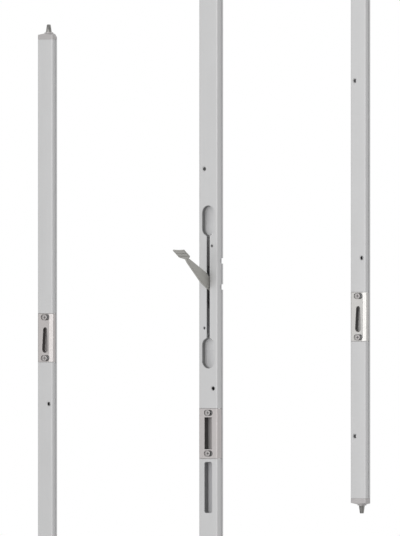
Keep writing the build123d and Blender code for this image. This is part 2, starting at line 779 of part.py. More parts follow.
def end_guide(low_side):
    """End cap with its barrel in the rail; Z = 0 is the rail's end.

    The top slopes up to a boss round the bolt, and one back corner falls away."""
    half = outer_width / 2
    inner = half - outer_wall - rod_guide_side_gap
    cap = block(-half, half, 0, outer_depth, 0, boss_top)
    front_edges = cap.edges().filter_by(Axis.Z).group_by(Axis.Y)[0]
    cap = fillet(front_edges, corner_radius)
    boss_y = outer_depth - guide_boss_from_back
    boss = cap & rod_z(guide_boss_radius, 0, boss_y, 0, boss_top)
    slope_height = boss_top - guide_boss_step
    slope_foot = guide_boss_radius + guide_slope * slope_height
    cap &= Pos(0, boss_y, slope_height / 2) * Cone(slope_foot, guide_boss_radius, slope_height)
    cap += boss
    fall = [(low_side * x, boss_top - drop) for x, drop in guide_corner_fall]
    outside = low_side * past_all
    corner = outline(*fall, (outside, fall[-1][1]), (outside, past_all), (fall[0][0], past_all))
    cap -= into_door(corner, guide_corner_from, past_all)
    barrel = bolt_radius + guide_barrel_wall
    cap += rod_z(barrel, 0, bolt_axis_y, -guide_depth, guide_flange)
    cap += block(-inner, inner, outer_wall, outer_depth, -guide_depth, guide_flange / 2)
    cap -= rod_z(bolt_radius + guide_fit, 0, bolt_axis_y, -guide_depth - through, boss_top + through)
    hole_end = -bolt_radius - guide_screw_tip_gap + guide_screw_play
    cap -= rod_x(guide_screw_radius + rivet_fit, -half, hole_end, outer_depth / 2, -guide_screw_from_end)
    return cap


def guide_screw():
    """Countersunk screw through the left flange into the end guide."""
    half = outer_width / 2
    y, z = outer_depth / 2, -guide_screw_from_end
    screw = rod_x(guide_screw_radius, -half, -bolt_radius - guide_screw_tip_gap, y, z)
    head = Pos(-half + guide_screw_sink / 2, y, z) * Rot(0, 90, 0)
    return screw + head * Cone(guide_screw_head, guide_screw_radius, guide_screw_sink)


def guide_screw_hole():
    """What the guide screw takes out of the rail's left flange."""
    grow = rivet_fit
    half = outer_width / 2
    y, z = outer_depth / 2, -guide_screw_from_end
    hole = rod_x(guide_screw_radius + grow, -half - through, -half + 2 * outer_wall, y, z)
    head = Pos(-half + guide_screw_sink / 2 - grow, y, z) * Rot(0, 90, 0)
    return hole + head * Cone(guide_screw_head + grow, guide_screw_radius + grow, guide_screw_sink)


def shoot_bolt():
    """Round bolt with a conical tip; its tail is forked to take the rod."""
    tip = boss_top + bolt_showing
    tail = tip - bolt_tail
    bolt = rod_z(bolt_radius, 0, bolt_axis_y, tail, tip - bolt_cone)
    cone = Cone(bolt_radius, bolt_tip_radius, bolt_cone)
    cone = fillet(cone.edges().group_by(Axis.Z)[-1], bolt_tip_round)
    bolt += Pos(0, bolt_axis_y, tip - bolt_cone / 2) * cone
    bolt -= block(-past_all, past_all, outer_rod_front - bolt_fork_gap, outer_rod_back + bolt_fork_gap,
                  tail - through, tail + bolt_fork)
    return bolt - rod_y(bolt_pin_radius + rivet_fit, 0, 0, past_all, tail + bolt_pin_from_tail)


def bolt_pin():
    """Cross pin from the bolt's front to its back, through the rod."""
    level = boss_top + bolt_showing - bolt_tail + bolt_pin_from_tail
    reach = sqrt(bolt_radius ** 2 - bolt_pin_radius ** 2)
    return rod_y(bolt_pin_radius, 0, bolt_axis_y - reach, bolt_axis_y + reach, level)


def outer_rod(length):
    """Flat rod from the bolt's fork to the hook-in head beyond the rail's other end."""
    tail = boss_top + bolt_showing - bolt_tail
    half = rod_width / 2
    end = -length - joint_reach
    rod = block(-half, half, outer_rod_front, outer_rod_back, end, tail - rod_shoulder_gap)
    rod += block(-rod_tip_width / 2, rod_tip_width / 2, outer_rod_front, outer_rod_back,
                 tail - 2 * rod_shoulder_gap, tail + bolt_fork - rod_tip_gap)
    rod -= rod_y(bolt_pin_radius + rivet_fit, 0, 0, past_all, tail + bolt_pin_from_tail)
    return rod + hook_in_head(0, outer_rod_front, end, -1)


def hook_keeper(x_mid, z_base):
    """Hook keeper with its tapered slot, bevelled right-hand side and slotted screw holes."""
    z_range = (z_base, z_base + hook_keeper_height)
    body = keeper(x_mid, outer_rail, hook_keeper_left, z_range,
                  hook_slot(z_base), hook_slot(z_base, pocket_wall))
    edge = outer_width / 2
    right = edge + through
    drop = hook_bevel_drop * (right - hook_bevel_from) / (edge - hook_bevel_from)
    bevel = outline((hook_bevel_from, 0), (right, drop), (right, -centre_depth),
                    (hook_bevel_from, -centre_depth))
    tall = hook_keeper_height + 2 * through
    cut = extrude(Pos(0, 0, z_base - through) * bevel, amount=tall, dir=(0, 0, 1))
    body -= Pos(x_mid, 0, 0) * cut
    for level in (z_base + hook_screw_low, z_base + hook_screw_high):
        body -= [Pos(x_mid, 0, 0) * piece for piece in screw_slot(level)]
    return body


def outer_length(name, x_mid, z_end, way, z_far, fixings, keeper_z, guide_levels):
    """All the pieces of one outer length. The bolt points up where way is 1 and down where it is -1."""
    z0, z1 = min(z_end, z_far), max(z_end, z_far)
    keeper_range = (keeper_z, keeper_z + hook_keeper_height)
    levels = (keeper_z + hook_screw_low, keeper_z + hook_screw_high)
    place = Pos(x_mid, 0, z_end)

    def put(piece):
        return place * (piece if way > 0 else mirror(piece, about=Plane.XY))

    body = channel(x_mid, outer_width, outer_depth, outer_wall, z0, z1)
    body -= keeper_cut(x_mid, outer_rail, hook_keeper_left, keeper_range)
    for x, z in fixings:
        body -= sunk_hole(x_mid + x, z, outer_wall)
    body -= rod_y(joint_thread_radius, x_mid, -through, outer_wall + through,
                  z_far + way * joint_hole_from_end)
    body -= put(guide_screw_hole())
    nodes["rail_" + name] = body
    nodes[name + "_end_guide"] = put(end_guide(way))
    nodes[name + "_guide_screw"] = put(guide_screw())
    nodes[name + "_shoot_bolt"] = put(shoot_bolt())
    nodes[name + "_bolt_pin"] = put(bolt_pin())
    rod = put(outer_rod(z1 - z0))
    nodes["rod_" + name] = rod - screw_relief(x_mid, fixings, (z0, z1), way > 0)
    nodes[name + "_hook_keeper"] = hook_keeper(x_mid, keeper_z)
    window = hook_slot(keeper_z, pocket_wall + seat_window_gap)
    nodes[name + "_hook_keeper_seat"] = keeper_seat(x_mid, outer_rail, keeper_range, window, levels)
    back = outer_wall + seat_thick
    nodes[name + "_hook_keeper_screws"] = [keeper_screw(x_mid, level, back) for level in levels]
    nodes[name + "_rod_guides"] = rod_guides(x_mid, outer_rail, guide_levels)


outer_length("top", top_x, top_rail_end, 1, top_rail_foot, top_fixings,
             top_hook_keeper_z, top_guide_levels)
outer_length("bottom", bottom_x, bottom_rail_end, -1, bottom_rail_head, bottom_fixings,
             bottom_hook_keeper_z, bottom_guide_levels)

for name, shape in nodes.items():
    solids = shape if isinstance(shape, list) else shape.solids()
    if len(solids) > 1:
        export_step(Compound(children=list(solids)), f"parts/{name}.step")
    else:
        export_step(solids[0], f"parts/{name}.step")
    print(name, len(solids))
print("rod travel: out", round(throw, 3), "back", round(draw_back, 3))
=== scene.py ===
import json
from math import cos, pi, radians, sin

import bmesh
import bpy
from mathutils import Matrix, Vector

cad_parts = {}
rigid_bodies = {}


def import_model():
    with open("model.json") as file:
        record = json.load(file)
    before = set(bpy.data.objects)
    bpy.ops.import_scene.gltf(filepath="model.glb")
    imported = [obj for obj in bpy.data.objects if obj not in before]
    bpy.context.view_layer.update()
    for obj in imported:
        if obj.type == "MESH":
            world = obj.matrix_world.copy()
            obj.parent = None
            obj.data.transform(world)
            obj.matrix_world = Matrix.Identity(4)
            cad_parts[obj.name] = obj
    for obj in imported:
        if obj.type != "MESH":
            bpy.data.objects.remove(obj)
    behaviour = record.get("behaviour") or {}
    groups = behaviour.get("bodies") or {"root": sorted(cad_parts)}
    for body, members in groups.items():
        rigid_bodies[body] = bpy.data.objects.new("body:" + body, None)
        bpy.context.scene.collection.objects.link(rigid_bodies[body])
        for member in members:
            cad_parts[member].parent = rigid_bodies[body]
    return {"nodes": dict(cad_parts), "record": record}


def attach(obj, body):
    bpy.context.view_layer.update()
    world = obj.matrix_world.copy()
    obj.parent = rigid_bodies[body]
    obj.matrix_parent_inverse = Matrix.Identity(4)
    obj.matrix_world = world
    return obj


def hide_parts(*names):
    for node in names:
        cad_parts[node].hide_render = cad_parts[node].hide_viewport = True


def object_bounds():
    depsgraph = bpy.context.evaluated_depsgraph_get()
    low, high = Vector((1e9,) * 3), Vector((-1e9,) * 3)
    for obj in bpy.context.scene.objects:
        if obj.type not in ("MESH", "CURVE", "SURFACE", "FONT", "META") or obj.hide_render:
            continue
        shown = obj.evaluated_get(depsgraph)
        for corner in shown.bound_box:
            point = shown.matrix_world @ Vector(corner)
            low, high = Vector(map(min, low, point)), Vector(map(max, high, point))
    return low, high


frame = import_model()

# %% [markdown]
# Shoot-bolt gear of a door lock, dressed in Blender.
#
# The packed model gives every piece at its real size and place, in metres: x
# runs across the face, y into the door and z up. This lesson gives those pieces
# their looks: rounded edges, metal finishes, a camera where the photographer
# stood and the soft light of a product studio.

mm = 0.001
cad_low, cad_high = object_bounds()
print("CAD box from", tuple(cad_low), "to", tuple(cad_high))

# %% [markdown]
# Blender keeps a thing's data, such as a mesh, a lamp or a camera, apart from
# the object that stands in the scene. One helper makes the object for all of
# them and links it in, so that no piece is made and then forgotten.

# %% An object in the scene
def put_in_scene(name, data):
    """A new object that holds the data and stands in the scene."""
    made = bpy.data.objects.new(name, data)
    bpy.context.scene.collection.objects.link(made)
    return made


print(len(frame["nodes"]), "CAD pieces stand in the scene before anything is added")

# %% [markdown]
# The camera comes first, because it decides what shows. In the photograph the
# three lengths have one scale and their edges stay upright from top to bottom,
# so it was taken with a very long lens from far away, level with the lever and
# 36 degrees round to the right. A long lens here does the same, and still lets
# the other views step back to see the whole lock.

# %% Camera
photo_width, photo_height = 400, 536
photo_scale = 0.963            # pixels to a millimetre, on all three lengths
camera_round = radians(36)
camera_distance = 19.0
seen_across = -8.46 * mm       # what the middle of the photograph looks at
seen_level = 19.7 * mm
sensor_width = 36.0
nearest_seen, farthest_seen = 1.0, 60.0

camera_data = bpy.data.cameras.new("camera")
camera_data.sensor_width = sensor_width
camera_data.lens = sensor_width * camera_distance / (photo_height / photo_scale * mm)
camera_data.clip_start, camera_data.clip_end = nearest_seen, farthest_seen
camera = put_in_scene("camera", camera_data)
to_camera = Vector((sin(camera_round), -cos(camera_round), 0))
to_right = Vector((cos(camera_round), sin(camera_round), 0))
target = to_right * seen_across + Vector((0, 0, seen_level))
camera.location = target + to_camera * camera_distance
camera.rotation_euler = (pi / 2, 0, camera_round)
bpy.context.scene.camera = camera
bpy.context.scene.view_settings.view_transform = "Standard"
print("lens of", round(camera_data.lens), "mm for", photo_width, "by", photo_height, "pixels")

# %% [markdown]
# Shader sums are easier to read as sums. A small class holds one socket of a
# material, and Python's own signs then add the Math nodes. The forms with the
# number on the left are there too, so that 1 - mask works as it reads.

# %% A socket that can be added and multiplied
class Wire:
    """One output of a node, which can be used in a sum."""

    def __init__(self, nodes, socket):
        self.nodes, self.socket = nodes, socket

    def joined(self, operation, first, second):
        node = self.nodes.add("ShaderNodeMath", {"operation": operation}, {0: first, 1: second})
        return Wire(self.nodes, node.outputs[0])

    def __add__(self, other):
        return self.joined("ADD", self, other)

    def __radd__(self, other):
        return self.joined("ADD", other, self)

    def __sub__(self, other):
        return self.joined("SUBTRACT", self, other)

    def __rsub__(self, other):
        return self.joined("SUBTRACT", other, self)

    def __mul__(self, other):
        return self.joined("MULTIPLY", self, other)

    def __rmul__(self, other):
        return self.joined("MULTIPLY", other, self)

    def size(self):
        """The value without its sign."""
        return self.joined("ABSOLUTE", self, 0)

    def between(self, low, high):
        """0 below low, 1 above high, and a smooth step from one to the other."""
        node = self.nodes.add(
            "ShaderNodeMapRange", {"interpolation_type": "SMOOTHSTEP"},
            {"Value": self, "From Min": low, "From Max": high})
        return Wire(self.nodes, node.outputs["Result"])


print("a wire can be added, subtracted, multiplied, stripped of its sign or stepped")

# %% [markdown]
# A material is a tree of nodes, and so is the world behind the lock. Blender
# puts nodes of its own into a new tree, so this class empties it first. Every
# node then comes from one method, which takes the node's type, its settings
# and what goes into its sockets.

# %% A tree of nodes, for a material or for the world
class Nodes:
    """The node tree of a material or a world, which starts empty."""

    def __init__(self, owner):
        owner.use_nodes = True
        self.tree = owner.node_tree
        self.tree.nodes.clear()

    def add(self, kind, settings=None, sockets=None):
        """One node: its settings first, then the values or links of its sockets."""
        node = self.tree.nodes.new(kind)
        for name, value in (settings or {}).items():
            setattr(node, name, value)
        for name, value in (sockets or {}).items():
            self.feed(node.inputs[name], value)
        return node

    def feed(self, socket, value):
        """Links a wire or an output to the socket, or sets its number."""
        if isinstance(value, Wire):
            value = value.socket
        if isinstance(value, bpy.types.NodeSocket):
            self.tree.links.new(value, socket)
        else:
            socket.default_value = value


print("a tree makes its nodes with one method:", Nodes.add.__doc__)

# %% [markdown]
# No metal on this lock has one flat colour. Drawing, casting, plating and
# handling each leave their own marks, some as long as a rail and some finer
# than a hair. A picture of a surface would blur close up, so the marks are
# grown from noise that is stretched in millimetres, or measured on the piece:
# where a point lies, which way it faces and how near it is to an edge.

# %% Marks on a surface
class Surface(Nodes):
    """What a material can measure on a piece, and the noise that it grows there."""

    def __init__(self, material):
        super().__init__(material)
        self.place = self.add("ShaderNodeTexCoord").outputs["Object"]

    def three(self, vector):
        """The three numbers of a vector."""
        node = self.add("ShaderNodeSeparateXYZ", {}, {0: vector})
        return [Wire(self, output) for output in node.outputs]

    def axes(self):
        """The place on the piece: across, deep and up."""
        return self.three(self.place)

    def facing(self):
        """The way the surface faces: across, deep and up."""
        return self.three(self.add("ShaderNodeNewGeometry").outputs["Normal"])

    def stretched(self, across, deep, up):
        """The place on the piece, with each direction counted in steps of its own size."""
        node = self.add("ShaderNodeVectorMath", {"operation": "MULTIPLY"},
                        {0: self.place, 1: (1 / across, 1 / deep, 1 / up)})
        return node.outputs[0]

    def noise(self, across, up=None, detail=2.0):
        """Soft random values, with features about as large as the given steps."""
        node = self.add("ShaderNodeTexNoise", {}, {
            "Vector": self.stretched(across, across, up or across),
            "Scale": 1.0, "Detail": detail})
        return Wire(self, node.outputs["Fac"])

    def edge_mask(self, radius):
        """1 where the surface turns sharply within the radius, 0 on the flat."""
        turn_starts, turn_full = 0.01, 0.25
        soft = self.add("ShaderNodeBevel", {"samples": 4}, {"Radius": radius})
        flat = self.add("ShaderNodeNewGeometry")
        alike = self.add("ShaderNodeVectorMath", {"operation": "DOT_PRODUCT"},
                         {0: soft.outputs[0], 1: flat.outputs["Normal"]})
        return (1 - Wire(self, alike.outputs["Value"])).between(turn_starts, turn_full)


print("a surface knows its place and its edges, and grows noise by the millimetre")

# %% [markdown]
# A finish is one base colour, one degree of metal and one of gloss, with small
# swings about each of them. Blender's Principled shader takes all three.
# Colours are mixed as colours and never go through a Math node, which would
# turn them grey.

# %% A finish
class Finish(Surface):
    """A material with one Principled shader, and what is painted over it."""

    def __init__(self, name, colour, metallic, roughness):
        self.material = bpy.data.materials.new(name)
        super().__init__(self.material)
        self.colour, self.roughness = colour, roughness
        self.shader = self.add("ShaderNodeBsdfPrincipled", {}, {
            "Base Color": (*colour, 1), "Metallic": metallic, "Roughness": roughness})
        self.output = self.add("ShaderNodeOutputMaterial", {}, {"Surface": self.shader.outputs[0]})

    def shade(self, times):
        """The finish's colour, so many times as bright."""
        return tuple(min(c * times, 1) for c in self.colour) + (1,)

    def mixed(self, amount, first, second):
        """The first colour where amount is 0, the second where it is 1."""
        node = self.add("ShaderNodeMix", {"data_type": "RGBA"}, {0: amount, 6: first, 7: second})
        return node.outputs[2]

    def tinted(self, amount, dark, light):
        """The finish's colour, from dark to light times itself as amount goes from 0 to 1."""
        return self.mixed(amount, self.shade(dark), self.shade(light))

    def paint(self, socket, value):
        """Gives one socket of the shader its value, the same all over or varying."""
        self.feed(self.shader.inputs[socket], value)

    def relief(self, height, depth):
        """Turns a height between 0 and 1 into bumps of that depth."""
        bumps = self.add("ShaderNodeBump", {}, {
            "Height": height, "Distance": depth, "Strength": 1.0})
        self.paint("Normal", bumps.outputs[0])


finishes = {}                    # by the record's material slots
own_finishes = {}                # for single pieces that differ from the rest of their slot
print("a finish varies colour, gloss and relief about its own middle")

# %% [markdown]
# The rails are drawn through a die and then anodised or zinc plated to a satin
# silver. Drawing leaves faint lines along the length, and the bath leaves a
# soft cloudiness and an even, silky gloss. Inside the channel the colour is
# painted nearly black, as painted shade. Noise that is stretched over a hundred
# times along the rail gives the lines without any picture of them, and the
# distance from the outer faces tells inside from outside.

# %% Satin silver of the rails
def satin_rail(name, middle, half_width, wall):
    """Silver outside, with painted shade in the channel between the walls beside the middle."""
    finish = Finish(name, (0.565, 0.565, 0.567), metallic=0.35, roughness=0.42)
    shade_starts, shade_full = 0.5 * wall, 0.8 * wall
    across, deep, _ = finish.axes()
    under_face = deep.between(shade_starts, shade_full)
    to_side = (across - middle).size()
    within_sides = 1 - to_side.between(half_width - shade_full, half_width - shade_starts)
    lines = finish.noise(0.5 * mm, up=90 * mm, detail=3.0)
    fine = finish.noise(0.12 * mm, up=14 * mm)
    cloud = finish.noise(28 * mm)
    grain = finish.noise(0.25 * mm, detail=1.0)
    at_edge = finish.edge_mask(0.25 * mm)
    silver = finish.tinted(0.5 * lines + 0.35 * cloud + 0.3 * at_edge, dark=0.93, light=1.08)
    # painted shade: nearly black inside the channel, where little light reaches
    channel_shade_colour = (0.07, 0.07, 0.072, 1)
    finish.paint("Base Color", finish.mixed(under_face * within_sides, silver, channel_shade_colour))
    finish.paint("Roughness", finish.roughness - 0.08
                 + 0.1 * lines + 0.06 * cloud + 0.04 * grain - 0.06 * at_edge)
    finish.relief(0.6 * lines + 0.3 * fine + 0.1 * grain, depth=0.02 * mm)
    return finish.material


top_middle, bottom_middle = -210.7 * mm, 191.2 * mm      # where the outer lengths stand, across
centre_half, centre_wall = 12 * mm, 2 * mm
outer_half, outer_wall = 9.8 * mm, 1.6 * mm
finishes["rail"] = satin_rail("satin silver rail", 0.0, centre_half, centre_wall)
for rail, name, middle in (("rail_top", "satin silver top rail", top_middle),
                           ("rail_bottom", "satin silver bottom rail", bottom_middle)):
    own_finishes[rail] = satin_rail(name, middle, outer_half, outer_wall)
print("satin silver for the centre rail,", *own_finishes)

# %% [markdown]
# A keeper is cast in one piece and then plated. Its pocket's side walls and
# the floor of its two sideways screw slots get painted shade, a darker colour,
# which on the slot floors is strongest right of the middle. Both places are found
# by measuring, from the middle of the keeper and from its face, so nothing has to
# be cut apart to get two finishes.

# %% Painted shade in a keeper's pocket and screw slots
def painted_keeper_shade(finish, middle):
    """1 on the pocket's side walls and on the floor of the screw slots, where shade is painted."""
    pocket_half, face_starts = 6.3 * mm, 6.6 * mm
    wall_starts, wall_full = 0.2 * mm, 0.8 * mm
    slot_starts, slot_full, slot_ends, seat_starts = 0.6 * mm, 0.9 * mm, 1.1 * mm, 1.3 * mm
    across, deep, _ = finish.axes()
    from_middle = across - middle
    sideways = finish.facing()[0].size().between(0.3, 0.7)
    near = 1 - from_middle.size().between(pocket_half, face_starts)
    wall = sideways * deep.between(wall_starts, wall_full)
    slot_floor = deep.between(slot_starts, slot_full) * (1 - deep.between(slot_ends, seat_starts))
    # painted shadow on the slot floors: about a third as strong left of the middle, full right of
    # it
    shade_toward_right = 0.35 + 0.65 * from_middle.between(0, 2 * mm)
    return near * (wall + slot_floor * shade_toward_right * (1 - sideways))


print("dull places of a keeper: its pocket's walls and its screw slots")

# %% [markdown]
# Cast pieces such as the keepers, the end caps and the lever come out of a
# mould with a fine pebbled skin, and tumbling polishes only their edges. The
# lever is left raw, and on it the edges are painted darker than the middle, as
# shade along its rims. One recipe serves them all, with its own colour, gloss and
# size of pebbles.

# %% Cast and tumbled metal
def cast_metal(name, colour, roughness, pebble, metallic=1.0, swing=0.2, edge=0.45,
               edge_width=0.4 * mm, pocket_middle=None):
    """Cast skin of that swing; bright edges, turned to painted edge shade when edge is below 0."""
    finish = Finish(name, colour, metallic, roughness)
    skin = finish.noise(pebble, detail=3.0)
    cloud = finish.noise(6 * mm)
    at_edge = finish.edge_mask(edge_width)
    room_below = 0.5 if edge < 0 else 0.0
    mottle = 0.4 * skin + 0.3 * cloud + room_below + edge * at_edge
    plated = finish.tinted(mottle, dark=1 - swing, light=1 + swing)
    if pocket_middle is not None:
        # painted shade on the pocket's walls and screw slots, a fifth as bright as the keeper
        plated = finish.mixed(painted_keeper_shade(finish, pocket_middle), plated, finish.shade(0.2))
    finish.paint("Base Color", plated)
    finish.paint("Roughness", finish.roughness - 0.06 + 0.14 * skin - 0.12 * at_edge)
    finish.relief(skin, depth=0.03 * mm)
    return finish.material


finishes["end_cap"] = cast_metal(
    "cast end cap", (0.46, 0.445, 0.443), 0.45, pebble=0.5 * mm, metallic=0.6)
# painted shade: the lever's edges are darkened along its rims
finishes["lever"] = cast_metal(
    "raw cast lever", (0.315, 0.31, 0.29), 0.50, pebble=0.4 * mm, metallic=0.5, swing=0.4,
    edge=-1.0, edge_width=1.0 * mm)
finishes["gear"] = cast_metal("sintered gear", (0.20, 0.20, 0.195), 0.48, pebble=0.2 * mm)
print("cast metal for", [slot for slot in finishes if slot != "rail"])

# %% [markdown]
# The three keepers are one kind of casting, but in the photograph the bottom
# one is paler and a little duller than the other two. Each also has its own
# middle, where its pocket lies, so each has a finish of its own.

# %% Satin nickel of the keepers
finishes["keeper"] = cast_metal(
    "satin nickel keeper", (0.50, 0.475, 0.47), 0.36, pebble=0.45 * mm, metallic=0.7,
    swing=0.12, pocket_middle=0.0)
own_finishes["top_hook_keeper"] = cast_metal(
    "satin nickel top keeper", (0.50, 0.475, 0.468), 0.36, pebble=0.45 * mm, metallic=0.7,
    swing=0.12, pocket_middle=top_middle)
own_finishes["bottom_hook_keeper"] = cast_metal(
    "satin nickel bottom keeper", (0.56, 0.55, 0.535), 0.38, pebble=0.45 * mm, metallic=0.6,
    swing=0.12, pocket_middle=bottom_middle)
print("pieces with a finish of their own:", *own_finishes)

# %% [markdown]
# A finger cup is pressed from thin sheet. Its steep walls get painted shade, a
# dull dark colour, and the floor's hollow at the cup's far end is painted darker
# as well. The rest of the floor keeps its silver and shows the rubs where the
# sheet has slid over the punch. Depth below the face tells the two apart, with no
# picture of either.

# %% The finger cups
def finger_cup():
    """Silver on the cup's floor, with painted shade on its steep walls and at its far end."""
    finish = Finish("finger cup", (0.66, 0.66, 0.665), metallic=0.3, roughness=0.48)
    wall_ends, floor_starts = 4.6 * mm, 6.4 * mm
    dish_starts, dish_full = 64 * mm, 70 * mm        # above or below the lever's level
    dish_top, dish_floor = 6.0 * mm, 7.0 * mm        # below the face
    _, deep, level = finish.axes()
    steep = 1 - finish.facing()[1].size().between(0.25, 0.75)
    shaded_walls = steep * (1 - deep.between(wall_ends, floor_starts))
    dish_shade = level.size().between(dish_starts, dish_full) * deep.between(dish_top, dish_floor)
    rubs = finish.noise(0.35 * mm, up=5 * mm, detail=3.0)
    skin = finish.noise(0.5 * mm, detail=3.0)
    # painted shade in the floor's hollow at the cup's far end, patchy with the rubs
    silver = finish.tinted(0.5 * rubs + 0.5 * skin - 0.35 * dish_shade * rubs, dark=0.86, light=1.1)
    # painted shade: the steep walls turn dark grey
    finish.paint("Base Color", finish.mixed(shaded_walls, silver, (0.24, 0.24, 0.24, 1)))
    finish.paint("Roughness", finish.roughness - 0.08 + 0.12 * skin + 0.1 * shaded_walls)
    finish.relief(0.7 * rubs + 0.3 * skin, depth=0.03 * mm)
    return finish.material


finishes["cup"] = finger_cup()
print("finish of the cups:", finishes["cup"].name)

# %% [markdown]
# The keepers' screws are small countersunk ones with a cross for the driver.
# Their heads are plated and rubbed bright, and the cross is too narrow to let
# much light out again. It is cut into the solid, so the finish only has to go
# nearly black below the head.

# %% The keepers' screws
def plated_screw():
    """Bright on the head, nearly black down in the cross that the driver fits."""
    finish = Finish("plated screw", (0.46, 0.44, 0.435), metallic=0.8, roughness=0.32)
    head_ends, cross_full = 0.18 * mm, 0.4 * mm
    _, deep, _ = finish.axes()
    skin = finish.noise(0.3 * mm, detail=3.0)
    at_edge = finish.edge_mask(0.2 * mm)
    head = finish.tinted(0.6 * skin + 0.5 * at_edge, dark=0.75, light=1.3)
    cross = deep.between(head_ends, cross_full)
    finish.paint("Base Color", finish.mixed(cross, head, (0.06, 0.06, 0.06, 1)))
    finish.paint("Roughness", finish.roughness - 0.06 + 0.14 * skin)
    finish.relief(skin, depth=0.02 * mm)
    return finish.material


finishes["keeper_screw"] = plated_screw()
print("finish of the keepers' screws:", finishes["keeper_screw"].name)

# %% [markdown]
# The shoot bolts and the pins are turned from bright bar. The lathe leaves
# rings as fine as its feed round the length, and the bar keeps dark and light
# streaks along it, which show as soft bands on a bolt. Two noises, one
# squeezed and one stretched along the length, give both.

# %% Turned metal
def turned_metal(name, colour, roughness):
    """Bright bar from a lathe, with fine rings round its length."""
    finish = Finish(name, colour, 1.0, roughness)
    rings = finish.noise(8 * mm, up=0.12 * mm)
    streaks = finish.noise(1.1 * mm, up=60 * mm, detail=0.0).between(0.35, 0.65)
    at_edge = finish.edge_mask(0.3 * mm)
    bar = finish.tinted(0.2 * rings + 0.7 * streaks + 0.3 * at_edge, dark=0.5, light=1.35)
    finish.paint("Base Color", bar)
    finish.paint("Roughness", finish.roughness - 0.05 + 0.12 * rings)
    finish.relief(rings, depth=0.012 * mm)
    return finish.material


finishes["pin"] = turned_metal("turned pin", (0.34, 0.34, 0.34), 0.30)
finishes["bolt"] = turned_metal("turned bolt", (0.27, 0.265, 0.255), 0.34)
print("turned metal:", finishes["pin"].name, "and", finishes["bolt"].name)

# %% [markdown]
# The rods and the gear case are cut from zinc-plated strip. Zinc sets in flat
# crystals a few millimetres wide, called spangle, and the rods' guides rub
# long marks over them. Voronoi cells are shaped much like the crystals, so
# they give the spangle, and stretched noise gives the marks.

# %% Rolled strip
def rolled_strip(name, colour, roughness, metallic=1.0):
    """Zinc-plated strip, with spangles and a few rubbed marks along its length."""
    finish = Finish(name, colour, metallic, roughness)
    spangle = finish.add("ShaderNodeTexVoronoi", {}, {
        "Vector": finish.stretched(2.2 * mm, 2.2 * mm, 2.8 * mm), "Scale": 1.0})
    flakes = Wire(finish, spangle.outputs["Distance"])
    rubs = finish.noise(0.4 * mm, up=25 * mm)
    finish.paint("Base Color", finish.tinted(0.5 * flakes + 0.5 * rubs, dark=0.85, light=1.15))
    finish.paint("Roughness", finish.roughness - 0.08 + 0.12 * flakes + 0.1 * rubs)
    finish.relief(rubs, depth=0.01 * mm)
    return finish.material


finishes["case"] = rolled_strip("plated case", (0.46, 0.46, 0.465), 0.45, metallic=0.35)
finishes["rod"] = rolled_strip("plated rod", (0.36, 0.36, 0.365), 0.38)
print("rolled strip:", finishes["case"].name, "and", finishes["rod"].name)

# %% [markdown]
# The box behind the deadbolt's slot and the rods' guides are moulded plastic.
# A spark-eroded mould gives them a fine leathery skin. In the photograph the
# box's side walls are much darker than its floor, and that shade is painted:
# the plastic takes a darker colour wherever it faces sideways.

# %% Moulded plastic
def moulded(name, colour, roughness, walls=1.0):
    """Spark-eroded plastic, with painted shade making its side walls so many times as bright."""
    finish = Finish(name, colour, 0.0, roughness)
    skin = finish.noise(0.3 * mm, detail=3.0)
    cloud = finish.noise(9 * mm)
    sideways = finish.facing()[0].size().between(0.2, 0.8)
    light = finish.tinted(0.5 * skin + 0.5 * cloud, dark=0.88, light=1.12)
    # painted shade on the faces that turn sideways
    finish.paint("Base Color", finish.mixed(sideways, light, finish.shade(walls)))
    finish.paint("Roughness", finish.roughness - 0.08 + 0.16 * skin)
    finish.relief(skin, depth=0.02 * mm)
    return finish.material


finishes["pocket"] = moulded("pocket plastic", (0.5, 0.5, 0.51), 0.5, walls=0.42)
finishes["guide"] = moulded("guide nylon", (0.02, 0.02, 0.022), 0.45)
print(len(finishes), "finishes, and", len(own_finishes), "for single pieces")

# %% [markdown]
# Each node of the packed model has a material slot and moves with a body. A
# piece that is made anew has to keep both, so that it takes the right finish
# and moves with the lever as the old one did. The record says which they are,
# so they are looked up there and not written out a second time.

# %% Slot and body of a node
def slot_of(node):
    """The material slot that the record gives a node."""
    for part in frame["record"]["subparts"]:
        if part["node"] == node:
            return part["material_slot"]
    raise KeyError(node)


def body_of(node):
    """The body that a node moves with."""
    for body, members in frame["record"]["behaviour"]["bodies"].items():
        if node in members:
            return body
    raise KeyError(node)


print("the lever's slot and body:", slot_of("lever"), "and", body_of("lever"))

# %% [markdown]
# The drawing's edges are perfectly sharp, and real ones never are: a bent or
# cast edge has a small round that catches the light. Each piece that shows is
# copied, its flat areas are joined into single faces, and a Bevel modifier
# rounds every edge that turns sharply. The rails and keepers also keep a crease
# where their long slopes meet the face, or the shading would run across it.
# The copy then stands for the CAD piece.

# %% A rounded copy of a CAD piece
same_point = 0.002 * mm
flat_turn = radians(0.4)
sharp_turn = radians(30)         # an edge that turns further is rounded
crease_turn = radians(10.5)      # the long slopes beside the faces turn 11 degrees
creased = ["rail_centre", "rail_top", "rail_bottom",
           "latch_keeper", "top_hook_keeper", "bottom_hook_keeper"]
steps_in_a_round = 2


